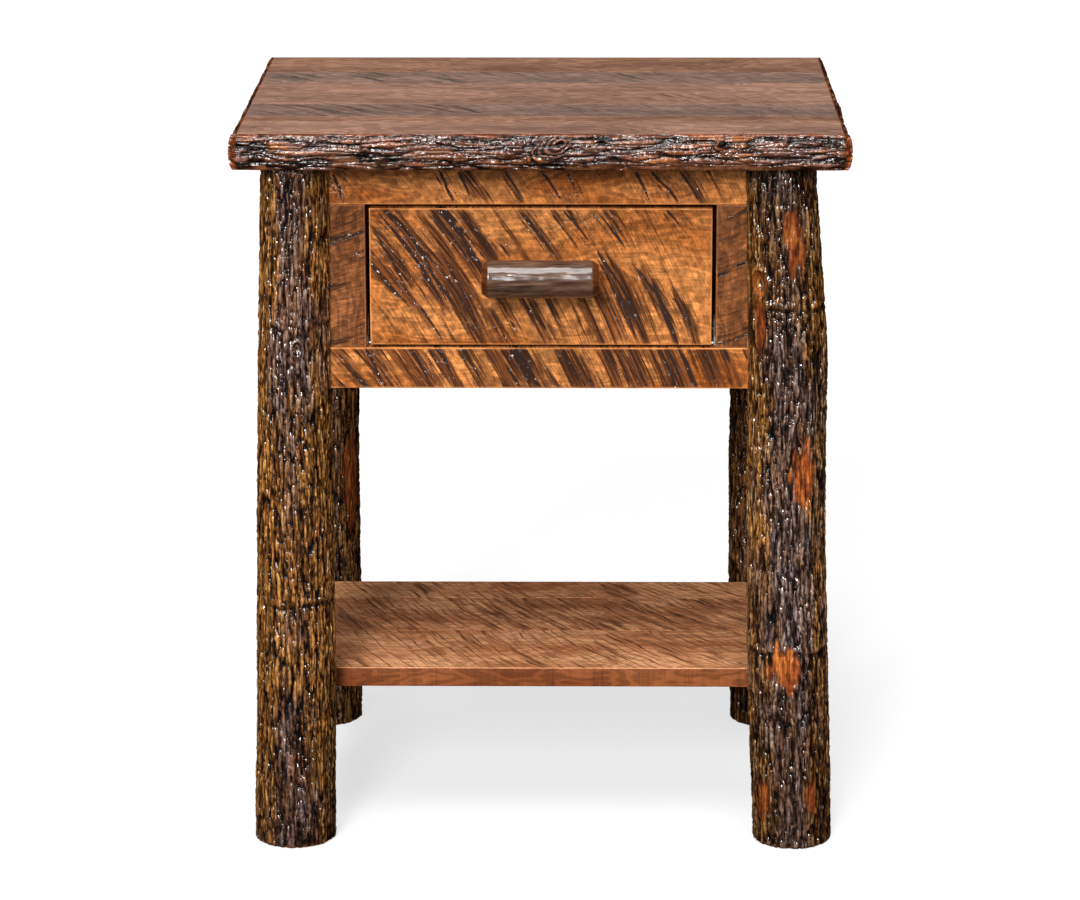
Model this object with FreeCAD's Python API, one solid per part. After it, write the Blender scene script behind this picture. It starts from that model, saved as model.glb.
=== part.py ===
import FreeCAD, Part
import math
import os

os.makedirs("parts", exist_ok=True)
Vector = FreeCAD.Vector

# Rustic bedside table: four log legs, a board case with one drawer, a board shelf and a thick top
# whose front and side edges still carry their bark.
# X runs to the right, Y to the back and Z up. Pieces are placed from the middle of the top's depth,
# and write_node then moves them so that the origin lies on the floor under the middle of the outline.

# Driving dimensions in millimetres
overall_height = 711.0
top_width = 575.0
top_depth = 457.0
top_thickness = 34.0
leg_side_setback = 56.0
front_leg_setback = 43.5
rear_leg_setback = 42.0
case_height = 220.0
upper_rail_height = 40.5
lower_rail_height = 40.0
stile_width = 44.5
shelf_height = 163.7
shelf_thickness = 19.0

# Clearances and overrun
screw_play = 0.1
pin_play = 0.08
roller_gap = 0.3
scribe_gap = 0.8
drawer_side_gap = 3.8
drawer_top_gap = 3.6
drawer_bottom_gap = 2.9
stop_gap = 0.5
overrun = 5.0

# Logs
front_leg_top_radius = 35.0
front_leg_foot_radius = 41.2
rear_leg_top_radius = 36.5
rear_leg_foot_radius = 39.5
leg_foot_chamfer = 3.0
front_left_lean = 12.0
front_right_lean = 13.0
rear_lean = 6.0
leg_pocket_depth = 15.0

# Boards of the case
frame_board_thickness = 20.0
frame_projection = 3.0
side_board_thickness = 16.0
back_board_thickness = 12.0
cleat_width = 20.0
cleat_height = 20.0
cleat_end_gap = 4.0

# Bark edges of the top
bark_rim = 3.0
bark_bulge = 5.0

# Handle
handle_length = 110.5
handle_radius = 18.5
handle_gap = 16.0
handle_rise = 5.5
handle_end_length = 6.0
handle_post_radius = 7.0
handle_post_seat = 8.0
handle_post_spacing = 74.0

# Drawer box
drawer_front_thickness = 19.0
drawer_board_thickness = 12.0
drawer_box_headroom = 29.3
drawer_box_back_space = 44.5
drawer_bottom_thickness = 5.0
drawer_bottom_lift = 10.0
drawer_groove_depth = 5.0
drawer_stop_width = 20.0
drawer_stop_height = 20.0

# Roller slides under the drawer sides
slide_space = 12.7
slide_end_gap = 5.0
slide_sheet = 1.2
slide_lift = 1.0
slide_rail_width = 20.0
slide_rail_height = 40.0
slide_rail_drop = 5.0
roller_radius = 8.6
roller_width = 8.0
roller_pin_radius = 2.0
roller_end_distance = 12.0
own_flange_gap = 0.5
channel_roof_gap = 0.8
slide_edge_gap = 1.2
channel_mouth = 2.6
runner_foot_width = 12.0
runner_foot_lift = 3.0
slide_setback = 2.0
slide_tab_length = 15.0
slide_tab_height = 8.0
pin_tip_gap = 0.7

# Shelf
shelf_front_setback = 33.0
shelf_back_setback = 39.8
shelf_support_width = 22.0
shelf_support_height = 36.0
shelf_support_offset = 0.5
shelf_batten_width = 40.0
shelf_batten_height = 16.0
shelf_batten_end_gap = 12.0
shelf_batten_setback = 65.0

# Screws: shank radius, head radius and head height of the three sizes used
wood_screw = (2.0, 4.5, 3.0)
bolt_screw = (2.2, 5.5, 3.0)
sheet_screw = (1.5, 3.0, slide_sheet)
front_screw_bite = 12.0
front_screw_inset = 10.2
handle_screw_bite = 4.0
top_screw_bite = 20.0
shelf_screw_bite = 12.0
slide_screw_bite = 9.0

# Levels and planes that follow from the sizes above
top_underside = overall_height - top_thickness
case_bottom = top_underside - case_height
opening_bottom = case_bottom + lower_rail_height
opening_top = top_underside - upper_rail_height
top_front = -top_depth / 2
top_back = top_depth / 2
front_axis = top_front + front_leg_setback
rear_axis = top_back - rear_leg_setback
frame_front = front_axis - frame_projection
frame_back = frame_front + frame_board_thickness
back_board_front = rear_axis - back_board_thickness / 2
leg_half_span = top_width / 2 - leg_side_setback
face_end = leg_half_span - front_leg_top_radius + leg_pocket_depth
opening_half = face_end - stile_width
drawer_front_half = opening_half - drawer_side_gap
drawer_front_bottom = opening_bottom + drawer_bottom_gap
drawer_front_top = opening_top - drawer_top_gap
drawer_front_back = frame_front + drawer_front_thickness
box_half = opening_half - slide_space
slide_floor = opening_bottom + slide_lift
runner_foot_bottom = slide_floor + runner_foot_lift
box_bottom = runner_foot_bottom + slide_sheet
box_top = opening_top - drawer_box_headroom
box_front = drawer_front_back
box_back = back_board_front - drawer_box_back_space
slide_length = box_back - box_front - slide_end_gap
shelf_top = shelf_height
shelf_underside = shelf_top - shelf_thickness
shelf_front = front_axis + shelf_front_setback
shelf_back = rear_axis - shelf_back_setback
handle_axis_y = frame_front - handle_gap - handle_radius
handle_axis_z = (drawer_front_bottom + drawer_front_top) / 2 + handle_rise
outline_front = handle_axis_y - handle_radius
outline_shift = -(outline_front + top_back) / 2


def write_node(name, shape):
    placed = shape.copy()
    placed.translate(Vector(0, outline_shift, 0))
    placed.exportStep("parts/" + name + ".step")


def write_pair(name, right_shape):
    write_node(name + "_right", right_shape)
    write_node(name + "_left", mirrored(right_shape))


def mirrored(shape):
    return shape.mirror(Vector(0, 0, 0), Vector(1, 0, 0))


def both_sides(shapes):
    return list(shapes) + [mirrored(shape) for shape in shapes]


def block(x_range, y_range, z_range):
    size = [high - low for low, high in (x_range, y_range, z_range)]
    return Part.makeBox(*size, Vector(x_range[0], y_range[0], z_range[0]))


def centred(middle, width):
    return (middle - width / 2, middle + width / 2)


def rod(radius, start, end):
    axis = end - start
    return Part.makeCylinder(radius, axis.Length, start, axis)


def screw(size, head_face, direction, length, play=0.0):
    """A flat-headed screw: its head is sunk below head_face and its shank runs on along direction."""
    shank_radius, head_radius, head_height = size
    neck = head_face + direction * head_height
    tip = head_face + direction * length
    head = rod(head_radius + play, head_face, neck)
    shank = rod(shank_radius + play, head_face, tip)
    return head.fuse(shank).removeSplitter()


def screws(size, places, direction, length, play=0.0):
    return [screw(size, place, direction, length, play) for place in places]


def between(share, span):
    return span[0] + share * (span[1] - span[0])


# Log legs
# Each leg is lofted through round stations. The lists give, for every station, how far its centre
# strays sideways and forwards and how much it swells, as shares of the radius at the top.
leg_station_shares = (0.0, 0.14, 0.29, 0.44, 0.58, 0.72, 0.86, 1.0)
leg_logs = {
    "leg_front_left": {
        "side": -1, "axis_y": front_axis, "lean": front_left_lean,
        "top_radius": front_leg_top_radius, "foot_radius": front_leg_foot_radius,
        "sway_shares": (0.0, 0.005, 0.015, -0.015, -0.035, -0.05, -0.04, -0.035),
        "nod_shares": (0.0, -0.01, 0.01, 0.02, 0.01, -0.01, 0.0, 0.0),
        "swell_shares": (0.005, -0.005, 0.015, 0.015, 0.01, -0.005, -0.02, -0.015),
    },
    "leg_front_right": {
        "side": 1, "axis_y": front_axis, "lean": front_right_lean,
        "top_radius": front_leg_top_radius, "foot_radius": front_leg_foot_radius,
        "sway_shares": (0.075, 0.045, -0.01, -0.035, -0.015, 0.04, -0.035, -0.13),
        "nod_shares": (0.0, 0.01, 0.0, -0.01, 0.01, 0.02, 0.0, 0.0),
        "swell_shares": (-0.04, 0.005, 0.05, 0.02, 0.05, 0.095, 0.05, -0.01),
    },
    "leg_rear_left": {
        "side": -1, "axis_y": rear_axis, "lean": rear_lean,
        "top_radius": rear_leg_top_radius, "foot_radius": rear_leg_foot_radius,
        "sway_shares": (0.02, 0.035, 0.015, 0.005, 0.025, 0.035, 0.025, 0.02),
        "nod_shares": (0.0, 0.0, 0.01, 0.01, 0.0, -0.01, 0.0, 0.0),
        "swell_shares": (0.0, 0.01, 0.0, -0.01, 0.01, 0.0, 0.0, 0.0),
    },
    "leg_rear_right": {
        "side": 1, "axis_y": rear_axis, "lean": rear_lean,
        "top_radius": rear_leg_top_radius, "foot_radius": rear_leg_foot_radius,
        "sway_shares": (-0.02, -0.05, -0.06, -0.06, -0.07, -0.08, -0.04, -0.015),
        "nod_shares": (0.0, 0.01, 0.01, 0.0, -0.01, 0.0, 0.0, 0.0),
        "swell_shares": (0.0, 0.01, 0.03, 0.03, 0.01, 0.03, 0.01, 0.0),
    },
}


def station_value(shares, height_share):
    """The value of a station list at any height, on straight lines between the stations."""
    last = len(leg_station_shares) - 1
    index = max(i for i in range(last) if leg_station_shares[i] <= height_share)
    low, high = leg_station_shares[index], leg_station_shares[index + 1]
    part = (height_share - low) / (high - low)
    return between(part, (shares[index], shares[index + 1]))


def leg_section(log, height):
    """Centre and radius of a leg at one height above the floor."""
    share = height / top_underside
    sway = station_value(log["sway_shares"], share) * log["top_radius"]
    nod = station_value(log["nod_shares"], share) * log["top_radius"]
    swell = station_value(log["swell_shares"], share) * log["top_radius"]
    x = log["side"] * (leg_half_span + log["lean"] * (1 - share)) + sway
    centre = Vector(x, log["axis_y"] + nod, height)
    radius = between(share, (log["foot_radius"], log["top_radius"])) + swell
    return centre, radius


def leg_blank(log):
    heights = [between(share, (leg_foot_chamfer, top_underside)) for share in leg_station_shares]
    wires = []
    for height in heights:
        centre, radius = leg_section(log, height)
        wires.append(Part.Wire(Part.makeCircle(radius, centre)))
    trunk = Part.makeLoft(wires, True, False)
    centre, radius = leg_section(log, leg_foot_chamfer)
    foot_centre = Vector(centre.x, centre.y, 0)
    foot = Part.makeCone(radius - leg_foot_chamfer, radius, leg_foot_chamfer, foot_centre)
    return trunk.fuse(foot)


def make_legs(pocketed):
    for name, log in leg_logs.items():
        write_node(name, leg_blank(log).cut(pocketed))


# Face frame: two long rails let into the legs, and two short stiles between them
def face_rail_top():
    return block((-face_end, face_end), (frame_front, frame_back), (opening_top, top_underside))


def face_rail_bottom():
    return block((-face_end, face_end), (frame_front, frame_back), (case_bottom, opening_bottom))


def face_stile():
    return block((opening_half, face_end), (frame_front, frame_back), (opening_bottom, opening_top))


# Side and back boards, two high, let into the legs
side_board_split_share = 0.52
back_board_split_share = 0.46
side_front = front_axis + front_leg_top_radius - leg_pocket_depth
side_back = rear_axis - rear_leg_top_radius + leg_pocket_depth
side_inner = leg_half_span - side_board_thickness / 2
side_outer = leg_half_span + side_board_thickness / 2
back_end = leg_half_span - rear_leg_top_radius + leg_pocket_depth


def side_board(z_range):
    return block((side_inner, side_outer), (side_front, side_back), z_range)


def side_boards():
    split = between(side_board_split_share, (case_bottom, top_underside))
    return side_board((case_bottom, split)), side_board((split, top_underside))


def back_board(z_range):
    depth = (back_board_front, back_board_front + back_board_thickness)
    return block((-back_end, back_end), depth, z_range)


def back_boards():
    split = between(back_board_split_share, (case_bottom, top_underside))
    return back_board((case_bottom, split)), back_board((split, top_underside))


# Cleats that hold the top down, with screws up into it
cleat_front = front_axis + front_leg_top_radius + cleat_end_gap
cleat_back = rear_axis - rear_leg_top_radius - cleat_end_gap
cleat_x = (side_inner - cleat_width, side_inner)
cleat_bottom = top_underside - cleat_height
top_screw_shares = (0.12, 0.5, 0.88)


def top_screws(play=0.0):
    middle = sum(cleat_x) / 2
    places = []
    for share in top_screw_shares:
        places.append(Vector(middle, between(share, (cleat_front, cleat_back)), cleat_bottom))
    return both_sides(screws(wood_screw, places, Vector(0, 0, 1), cleat_height + top_screw_bite, play))


def top_cleat():
    cleat = block(cleat_x, (cleat_front, cleat_back), (cleat_bottom, top_underside))
    return cleat.cut(top_screws(screw_play))


# Top: six boards glued edge to edge, inside bark slabs on the front and both sides
top_seam_shares = (0.156, 0.216, 0.366, 0.640, 0.790)
field_half = top_width / 2 - bark_rim
field_front = top_front + bark_rim


def top_boards():
    seams = [between(share, (field_front, top_back)) for share in top_seam_shares]
    edges = [field_front] + seams + [top_back]
    holes = top_screws(screw_play)
    boards = []
    for front, back in zip(edges, edges[1:]):
        board = block((-field_half, field_half), (front, back), (top_underside, overall_height))
        boards.append(board.cut(holes))
    return boards


def bulged_outline(inner, rim, along):
    """Upright outline of a bark slab: flat inside, with an outward bow between its two rims."""
    middle = (top_underside + overall_height) / 2
    bow = rim + math.copysign(bark_bulge, rim)
    low_inner = along(inner, top_underside)
    low_rim = along(rim, top_underside)
    high_rim = along(rim, overall_height)
    high_inner = along(inner, overall_height)
    arc = Part.Arc(low_rim, along(bow, middle), high_rim).toShape()
    edges = [Part.makeLine(low_inner, low_rim), arc]
    edges += [Part.makeLine(high_rim, high_inner), Part.makeLine(high_inner, low_inner)]
    return Part.Face(Part.Wire(edges))


def bark_slab_right():
    face = bulged_outline(field_half, top_width / 2, lambda x, z: Vector(x, field_front, z))
    return face.extrude(Vector(0, top_back - field_front, 0))


def bark_slab_front():
    reach = top_width / 2 + bark_bulge
    face = bulged_outline(field_front, top_front, lambda y, z: Vector(-reach, y, z))
    slab = face.extrude(Vector(2 * reach, 0, 0))
    ends = bulged_outline(0, top_width / 2, lambda x, z: Vector(x, top_front - bark_bulge - overrun, z))
    right_end = ends.extrude(Vector(0, bark_bulge + bark_rim + 2 * overrun, 0))
    return slab.common(right_end.fuse(mirrored(right_end))).removeSplitter()


# Roller slides: a channel on the case and a runner on the drawer, each with one roller
runner_flange_bottom = slide_floor + slide_sheet + roller_gap + 2 * roller_radius + own_flange_gap
runner_flange_top = runner_flange_bottom + slide_sheet
channel_roof_bottom = runner_flange_top + channel_roof_gap
channel_roof_top = channel_roof_bottom + slide_sheet
channel_web_inner = opening_half - slide_sheet
runner_web_outer = box_half + slide_sheet
channel_front = frame_back + slide_setback
channel_back = channel_front + slide_length
runner_back = box_front + slide_length
case_roller_y = channel_front + roller_end_distance
case_roller_z = runner_flange_bottom - roller_gap - roller_radius
drawer_roller_y = runner_back - roller_end_distance
drawer_roller_z = slide_floor + slide_sheet + roller_gap + roller_radius
roller_middle = (runner_web_outer + channel_web_inner) / 2
roller_chamfer = roller_width / 10
case_screw_shares = (0.3, 0.8)
runner_screw_shares = (0.2, 0.7)


def cabinet_slide():
    """The channel: web, floor and roof, with a tab in front that lies on the stile's edge."""
    depth = (channel_front, channel_back)
    roof_depth = (case_roller_y + 2 * roller_radius, channel_back)
    floor_x = (runner_web_outer + slide_edge_gap, opening_half)
    roof_x = (runner_web_outer + channel_mouth, opening_half)
    web = block((channel_web_inner, opening_half), depth, (slide_floor, channel_roof_top))
    floor = block(floor_x, depth, (slide_floor, slide_floor + slide_sheet))
    roof = block(roof_x, roof_depth, (channel_roof_bottom, channel_roof_top))
    tab_depth = (channel_front - slide_tab_length, channel_front)
    tab = block((channel_web_inner, opening_half), tab_depth, (slide_floor, slide_floor + slide_tab_height))
    return web.fuse([floor, roof, tab]).removeSplitter().cut(cabinet_slide_screws(screw_play))


def drawer_slide():
    """The runner: a foot under the drawer side, a web on it, and a flange that rides the case roller."""
    depth = (box_front, runner_back)
    web = block((box_half, runner_web_outer), depth, (runner_foot_bottom, runner_flange_top))
    foot_x = (box_half - runner_foot_width, runner_web_outer)
    foot = block(foot_x, depth, (runner_foot_bottom, runner_foot_bottom + slide_sheet))
    flange_x = (box_half, channel_web_inner - slide_edge_gap)
    flange = block(flange_x, depth, (runner_flange_bottom, runner_flange_top))
    return web.fuse([foot, flange]).removeSplitter().cut(drawer_slide_screws(screw_play))


def cabinet_slide_screws(play=0.0):
    height = (slide_floor + channel_roof_top) / 2
    places = []
    for share in case_screw_shares:
        places.append(Vector(channel_web_inner, between(share, (channel_front, channel_back)), height))
    return screws(sheet_screw, places, Vector(1, 0, 0), slide_sheet + slide_screw_bite, play)


def drawer_slide_screws(play=0.0):
    height = (box_bottom + runner_flange_bottom) / 2
    places = []
    for share in runner_screw_shares:
        places.append(Vector(runner_web_outer, between(share, (box_front, runner_back)), height))
    return screws(sheet_screw, places, Vector(-1, 0, 0), slide_sheet + slide_screw_bite, play)


def roller(y, z):
    """A nylon wheel with a rounded rim and a running bore."""
    across = centred(roller_middle, roller_width)
    wheel = rod(roller_radius, Vector(across[0], y, z), Vector(across[1], y, z))
    wheel = wheel.makeChamfer(roller_chamfer, wheel.Edges)
    bore = rod(roller_pin_radius + pin_play, Vector(across[0] - overrun, y, z), Vector(across[1] + overrun, y, z))
    return wheel.cut(bore)


def case_roller_pin():
    tip = Vector(runner_web_outer + pin_tip_gap, case_roller_y, case_roller_z)
    return rod(roller_pin_radius, Vector(channel_web_inner, case_roller_y, case_roller_z), tip)


def drawer_roller_pin():
    tip = Vector(channel_web_inner - pin_tip_gap, drawer_roller_y, drawer_roller_z)
    return rod(roller_pin_radius, Vector(runner_web_outer, drawer_roller_y, drawer_roller_z), tip)


def slide_rail():
    """Wooden rail behind the stile that carries the channel, flush with the drawer opening."""
    bottom = opening_bottom - slide_rail_drop
    across = (opening_half, opening_half + slide_rail_width)
    rail = block(across, (frame_back, back_board_front), (bottom, bottom + slide_rail_height))
    return rail.cut(cabinet_slide_screws(screw_play))


# Drawer
box_inner_half = box_half - drawer_board_thickness
box_front_inner = box_front + drawer_board_thickness
box_back_inner = box_back - drawer_board_thickness
bottom_z = (box_bottom + drawer_bottom_lift, box_bottom + drawer_bottom_lift + drawer_bottom_thickness)
front_screw_x_share = 0.82
front_screw_heights = (bottom_z[1] + front_screw_inset, box_top - 2 * front_screw_inset)


def front_screws(play=0.0):
    x = front_screw_x_share * box_inner_half
    places = [Vector(x, box_front_inner, height) for height in front_screw_heights]
    length = drawer_board_thickness + front_screw_bite
    return both_sides(screws(wood_screw, places, Vector(0, -1, 0), length, play))


def handle_screws(play=0.0):
    place = Vector(handle_post_spacing / 2, box_front_inner, handle_axis_z)
    length = box_front_inner - frame_front + handle_gap + handle_post_seat + handle_screw_bite
    return both_sides(screws(bolt_screw, [place], Vector(0, -1, 0), length, play))


def drawer_bottom():
    half = box_inner_half + drawer_groove_depth
    depth = (box_front_inner - drawer_groove_depth, box_back_inner + drawer_groove_depth)
    return block((-half, half), depth, bottom_z)


def drawer_side():
    side = block((box_inner_half, box_half), (box_front, box_back), (box_bottom, box_top))
    return side.cut([drawer_bottom()] + drawer_slide_screws(screw_play))


def drawer_box_front():
    board = block((-box_inner_half, box_inner_half), (box_front, box_front_inner), (box_bottom, box_top))
    return board.cut([drawer_bottom()] + front_screws(screw_play) + handle_screws(screw_play))


def drawer_back():
    board = block((-box_inner_half, box_inner_half), (box_back_inner, box_back), (box_bottom, box_top))
    return board.cut(drawer_bottom())


def drawer_front():
    width = (-drawer_front_half, drawer_front_half)
    board = block(width, (frame_front, drawer_front_back), (drawer_front_bottom, drawer_front_top))
    return board.cut(front_screws(screw_play) + handle_screws(screw_play))


def drawer_stop():
    """Block on the back board that the drawer side meets when the drawer front is flush."""
    across = centred(box_half - drawer_board_thickness / 2, drawer_stop_width)
    middle = (box_bottom + box_top) / 2
    return block(across, (box_back + stop_gap, back_board_front), centred(middle, drawer_stop_height))


# Handle: a short log on two dowel posts
handle_station_shares = (0.0, 0.25, 0.5, 0.75, 1.0)
handle_radius_shares = (0.97, 0.96, 1.0, 0.98, 0.97)
handle_bend_shares = (0.03, 0.0, -0.03, -0.01, -0.04)
handle_end_share = 0.78


def handle_section(share):
    half = handle_length / 2 - handle_end_length
    index = handle_station_shares.index(share)
    z = handle_axis_z + handle_bend_shares[index] * handle_radius
    return Vector(between(share, (-half, half)), handle_axis_y, z), handle_radius_shares[index] * handle_radius


def handle_end(share, direction):
    centre, radius = handle_section(share)
    return Part.makeCone(radius, handle_end_share * radius, handle_end_length, centre, direction)


def handle():
    wires = []
    for share in handle_station_shares:
        centre, radius = handle_section(share)
        wires.append(Part.Wire(Part.makeCircle(radius, centre, Vector(1, 0, 0))))
    trunk = Part.makeLoft(wires, True, False)
    log = trunk.fuse([handle_end(0.0, Vector(-1, 0, 0)), handle_end(1.0, Vector(1, 0, 0))])
    return log.cut(handle_post_blanks() + handle_screws(screw_play))


def handle_post_blanks():
    start = Vector(handle_post_spacing / 2, frame_front, handle_axis_z)
    seat = start - Vector(0, handle_gap + handle_post_seat, 0)
    return both_sides([rod(handle_post_radius, start, seat)])


def handle_posts():
    return [post.cut(handle_screws(screw_play)) for post in handle_post_blanks()]


# Shelf: three boards scribed round the front legs and ending at the rear ones, on side supports let
# into the legs
shelf_seam_shares = (0.42, 0.80)
shelf_screw_shares = (0.19, 0.62)
support_middle = leg_half_span + shelf_support_offset
support_front = front_axis + front_leg_foot_radius - leg_pocket_depth
support_back = rear_axis - rear_leg_foot_radius + leg_pocket_depth
support_bottom = shelf_underside - shelf_support_height
shelf_half = support_middle + shelf_support_width / 2


def shelf_screws(play=0.0):
    places = []
    for share in shelf_screw_shares:
        places.append(Vector(support_middle, between(share, (shelf_front, shelf_back)), support_bottom))
    return both_sides(screws(wood_screw, places, Vector(0, 0, 1), shelf_support_height + shelf_screw_bite, play))


def leg_scribes():
    """Round cutters that leave the shelf boards a small gap from every leg."""
    cutters = []
    for log in leg_logs.values():
        start, low_radius = leg_section(log, shelf_underside - overrun)
        end, high_radius = leg_section(log, shelf_top + overrun)
        cutters.append(rod(max(low_radius, high_radius) + scribe_gap, start, end))
    return cutters


def shelf_boards():
    seams = [between(share, (shelf_front, shelf_back)) for share in shelf_seam_shares]
    edges = [shelf_front] + seams + [shelf_back]
    boards = []
    for front, back in zip(edges, edges[1:]):
        board = block((-shelf_half, shelf_half), (front, back), (shelf_underside, shelf_top))
        boards.append(board.cut(leg_scribes() + shelf_screws(screw_play)))
    return boards


def shelf_support():
    across = centred(support_middle, shelf_support_width)
    support = block(across, (support_front, support_back), (support_bottom, shelf_underside))
    return support.cut(shelf_screws(screw_play))


def shelf_batten():
    """Flat board under the middle of the shelf that ties its three boards together."""
    depth = (shelf_front + shelf_batten_setback, shelf_back - shelf_batten_end_gap)
    height = (shelf_underside - shelf_batten_height, shelf_underside)
    return block(centred(0, shelf_batten_width), depth, height)


def write_case():
    side_lower, side_upper = side_boards()
    back_lower, back_upper = back_boards()
    rails = [face_rail_top(), face_rail_bottom()]
    paired = both_sides([face_stile(), side_lower, side_upper, shelf_support()])
    make_legs(rails + paired + [back_lower, back_upper])
    write_node("face_rail_top", rails[0])
    write_node("face_rail_bottom", rails[1])
    write_pair("face_stile", face_stile())
    write_pair("side_board_lower", side_lower)
    write_pair("side_board_upper", side_upper)
    write_node("back_board_lower", back_lower)
    write_node("back_board_upper", back_upper)
    write_pair("slide_rail", slide_rail())
    write_node("drawer_stops", Part.makeCompound(both_sides([drawer_stop()])))


def write_top():
    for number, board in enumerate(top_boards(), start=1):
        write_node("top_board_" + str(number), board)
    write_node("bark_edge_front", bark_slab_front())
    write_pair("bark_edge", bark_slab_right())
    write_pair("top_cleat", top_cleat())
    write_node("top_screws", Part.makeCompound(top_screws()))


def write_drawer():
    write_node("drawer_front", drawer_front())
    write_node("drawer_box_front", drawer_box_front())
    write_pair("drawer_side", drawer_side())
    write_node("drawer_back", drawer_back())
    write_node("drawer_bottom", drawer_bottom())
    write_node("drawer_front_screws", Part.makeCompound(front_screws()))
    write_node("handle", handle())
    write_node("handle_posts", Part.makeCompound(handle_posts()))
    write_node("handle_screws", Part.makeCompound(handle_screws()))


def write_slides():
    write_pair("cabinet_slide", cabinet_slide())
    write_pair("drawer_slide", drawer_slide())
    write_pair("cabinet_roller", roller(case_roller_y, case_roller_z))
    write_pair("drawer_roller", roller(drawer_roller_y, drawer_roller_z))
    write_node("cabinet_roller_pins", Part.makeCompound(both_sides([case_roller_pin()])))
    write_node("drawer_roller_pins", Part.makeCompound(both_sides([drawer_roller_pin()])))
    write_node("cabinet_slide_screws", Part.makeCompound(both_sides(cabinet_slide_screws())))
    write_node("drawer_slide_screws", Part.makeCompound(both_sides(drawer_slide_screws())))


def write_shelf():
    for name, board in zip(("front", "middle", "rear"), shelf_boards()):
        write_node("shelf_board_" + name, board)
    write_pair("shelf_support", shelf_support())
    write_node("shelf_batten", shelf_batten())
    write_node("shelf_screws", Part.makeCompound(shelf_screws()))


write_case()
write_top()
write_drawer()
write_slides()
write_shelf()
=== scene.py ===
import bpy
import itertools
import math
import numpy as np
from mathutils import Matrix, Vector


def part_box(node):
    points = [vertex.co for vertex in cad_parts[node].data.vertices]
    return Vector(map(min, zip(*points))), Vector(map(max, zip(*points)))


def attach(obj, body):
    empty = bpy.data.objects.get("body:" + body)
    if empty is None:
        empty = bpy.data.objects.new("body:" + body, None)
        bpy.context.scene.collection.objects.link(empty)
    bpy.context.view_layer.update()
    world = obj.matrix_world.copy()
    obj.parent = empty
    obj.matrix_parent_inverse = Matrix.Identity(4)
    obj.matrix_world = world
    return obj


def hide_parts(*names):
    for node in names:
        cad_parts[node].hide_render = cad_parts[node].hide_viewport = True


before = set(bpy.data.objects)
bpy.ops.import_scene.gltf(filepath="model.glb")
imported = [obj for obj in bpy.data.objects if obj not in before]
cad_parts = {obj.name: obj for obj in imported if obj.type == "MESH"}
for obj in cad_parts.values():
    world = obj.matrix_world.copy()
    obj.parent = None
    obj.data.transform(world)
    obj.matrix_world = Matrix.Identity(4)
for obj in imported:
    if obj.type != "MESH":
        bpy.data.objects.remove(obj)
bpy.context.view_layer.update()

# Logs. Four young hickory trunks stand at the corners with their bark left on, cut square under the
# top and eased at the foot. The bark is a net of narrow ridges round long furrows, with a few knots,
# worn places and growth rings, all under a thick glossy clear coat.
log_height = 0.677
log_half_span = 0.2315
log_foot_easing = 0.003
log_pattern_radius = 0.038
log_stations = (0, 0.14, 0.29, 0.44, 0.58, 0.72, 0.86, 1)
cells_around = 208
cuts_along = (20, 21)
bark_skin = 0.0002
bark_depth = 0.0024
bark_wobble, bark_wobble_size = 0.0012, (0.03, 0.03, 0.07)
bark_ridge_width = 0.0042
bark_plate_length = 0.05
bark_bend_size, bark_bend_reach = (0.012, 0.012, 0.03), (0.0030, 0.0030, 0.008)
bark_fibre_size, bark_crumb_size = (0.0011, 0.0011, 0.012), (0.0026, 0.0026, 0.0036)
worn_depth, worn_edge_size = 0.0021, (0.006, 0.006, 0.018)
knot_collar_rise, knot_hole_depth = 0.0020, 0.0022
ring_wave, ring_wave_size, ring_break_size = 0.005, (0.012, 0.012, 1.0), (0.016, 0.016, 1.0)
ring_ridge_width, ring_ridge_rise = 0.0028, 0.0007
ring_groove_drop, ring_groove_width, ring_groove_depth = 0.005, 0.0024, 0.0003
tone_patch_size = (0.010, 0.010, 0.045)
foot_sanding = 0.001, 0.0045
bare_red_tones = ((0.045, 0.009, 0.004), (0.25, 0.048, 0.008), (0.55, 0.15, 0.022))


def lattice(corner, seed):
    """A fixed random number between 0 and 1 for each whole-numbered corner of space."""
    space_primes, seed_step = (73856093, 19349663, 83492791), 2654435
    first_mix, second_mix, full = 1274126177, 2246822519, 0xFFFFFFFF
    number = corner.astype(np.int64) @ np.array(space_primes) + seed * seed_step
    number = (number ^ (number >> 13)) * first_mix & full
    number = (number ^ (number >> 15)) * second_mix & full
    return (number ^ (number >> 16) & 0xFFFF) / full


def noise(points, seed):
    """Soft noise from -1 to 1, one unit to a hump."""
    base = np.floor(points)
    part = points - base
    part = part * part * part * (part * (part * 6 - 15) + 10)
    total = 0
    for step in itertools.product((0, 1), repeat=3):
        share = np.prod(np.where(step, part, 1 - part), axis=1)
        total = total + share * lattice(base + step, seed)
    return total * 2 - 1


def layered(points, seed, layers=3):
    """Noise with finer layers on it, each half as strong."""
    return sum(noise(points * 2 ** n, seed + n) / 2 ** n for n in range(layers)) / 1.6


def cell_edges(points, seed):
    """Nearness to the borders of a patchwork of cells, 0 on a border and about 0.5 inside."""
    base = np.floor(points)
    first = np.full(len(points), 9.0)
    second = first.copy()
    for step in itertools.product((-1, 0, 1), repeat=3):
        corner = base + step
        seeds = corner + np.stack([lattice(corner, seed + 31 * k) for k in (1, 2, 3)], axis=1)
        distance = np.linalg.norm(points - seeds, axis=1)
        second = np.minimum(second, np.maximum(first, distance))
        first = np.minimum(first, distance)
    return second - first


def smooth(low, high, value):
    """0 below low, 1 above high, and a soft step between."""
    share = np.clip((value - low) / (high - low), 0, 1)
    return share * share * (3 - 2 * share)


def station_line(values, height_share):
    """A soft line through the values at the stations of a log."""
    line = np.interp(height_share, log_stations, values)
    near = np.interp(height_share - 0.03, log_stations, values)
    far = np.interp(height_share + 0.03, log_stations, values)
    return (line * 2 + near + far) / 4


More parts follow.
